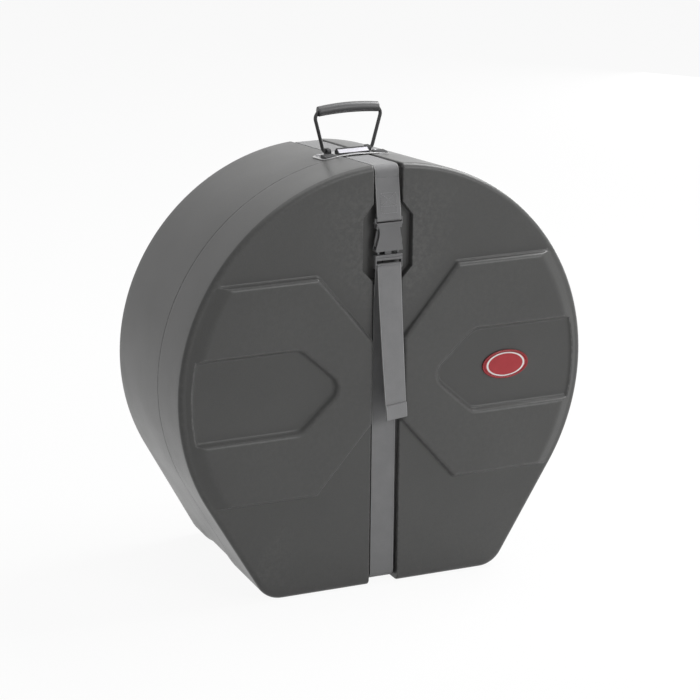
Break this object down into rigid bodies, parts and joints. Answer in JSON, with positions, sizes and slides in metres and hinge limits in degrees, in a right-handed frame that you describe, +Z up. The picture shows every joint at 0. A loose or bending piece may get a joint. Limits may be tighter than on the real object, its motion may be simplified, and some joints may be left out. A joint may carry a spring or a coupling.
{
  "type": "drum case",
  "caption": "Round moulded drum case with a flat base, a push-on lid with raised panels, a buckled webbing strap in a groove all round and a folding carrying handle.",
  "frame": {"origin": "middle of the flat base, under the centre of the closed case", "axes": "+Z up towards the handle, -Y out of the lid's front face, +X to the right seen from the front"},
  "size_m": [0.85, 0.4416, 0.9251],
  "materials": {
    "shell": "fine matte moulded grain, dark grey",
    "webbing": "woven grey webbing",
    "buckle": "satin dark grey moulded plastic",
    "badge_rim": "gloss dark red rim",
    "badge": "gloss red, bare",
    "handle": "satin black",
    "wire": "black coated steel wire",
    "grip": "moulded rubber",
    "steel": "bright steel",
    "label": "blank light card",
    "foam": "charcoal foam"
  },
  "bodies": {
    "body": {"body_shell": "shell", "strap_body": "webbing", "handle_plate": "steel", "handle_ear_left": "handle", "handle_ear_right": "handle", "handle_rest_left": "handle", "handle_rest_right": "handle", "label_frame": "handle", "label_card": "label", "handle_rivet_1": "steel", "handle_rivet_2": "steel", "handle_rivet_3": "steel", "handle_rivet_4": "steel", "handle_backing_left": "steel", "handle_backing_right": "steel", "back_pad": "foam", "cradle_pad_left": "foam", "cradle_pad_right": "foam"},
    "lid": {"lid_shell": "shell", "strap_lid_top": "webbing", "strap_lid_lower": "webbing", "badge_tray": "badge_rim", "badge_insert": "badge", "lid_pad": "foam"},
    "flap": {"strap_flap": "webbing", "buckle_socket": "buckle"},
    "plug": {"buckle_plug": "buckle", "strap_adjust_loop": "webbing"},
    "arm_left": {"release_arm_left": "buckle"},
    "arm_right": {"release_arm_right": "buckle"},
    "tail": {"strap_tail": "webbing"},
    "handle": {"handle_bail": "wire", "handle_grip": "grip"}
  },
  "joints": [
    {"name": "lid_slide", "type": "slide", "parent": "body", "child": "lid", "axis": [0, -1, 0], "range_m": [0, 0.4]},
    {"name": "flap_lift", "type": "hinge", "parent": "lid", "child": "flap", "pos_m": [0, -0.17899, 0.816], "axis": [-1, 0, 0], "range_deg": [0, 90]},
    {"name": "plug_slide", "type": "slide", "parent": "flap", "child": "plug", "axis": [0, 0, -1], "range_m": [0, 0.048], "deforming": ["release_arm_left", "release_arm_right"]},
    {"name": "release_right", "type": "hinge", "parent": "plug", "child": "arm_right", "pos_m": [0.0205, -0.18769, 0.6726], "axis": [0, -1, 0], "range_deg": [0, 10], "stiffness_Nm_per_rad": 0.5},
    {"name": "release_left", "type": "hinge", "parent": "plug", "child": "arm_left", "pos_m": [-0.0205, -0.18769, 0.6726], "axis": [0, 1, 0], "range_deg": [0, 10], "stiffness_Nm_per_rad": 0.5},
    {"name": "tail_swing", "type": "hinge", "parent": "plug", "child": "tail", "pos_m": [0, -0.19479, 0.648], "axis": [-1, 0, 0], "range_deg": [0, 95]},
    {"name": "bail_swing", "type": "hinge", "parent": "body", "child": "handle", "pos_m": [0, -0.00119, 0.831], "axis": [1, 0, 0], "range_deg": [-84, 74]}
  ],
  "couplings": [
    {"joint": "release_left", "follows": "release_right", "ratio": 1}
  ]
}
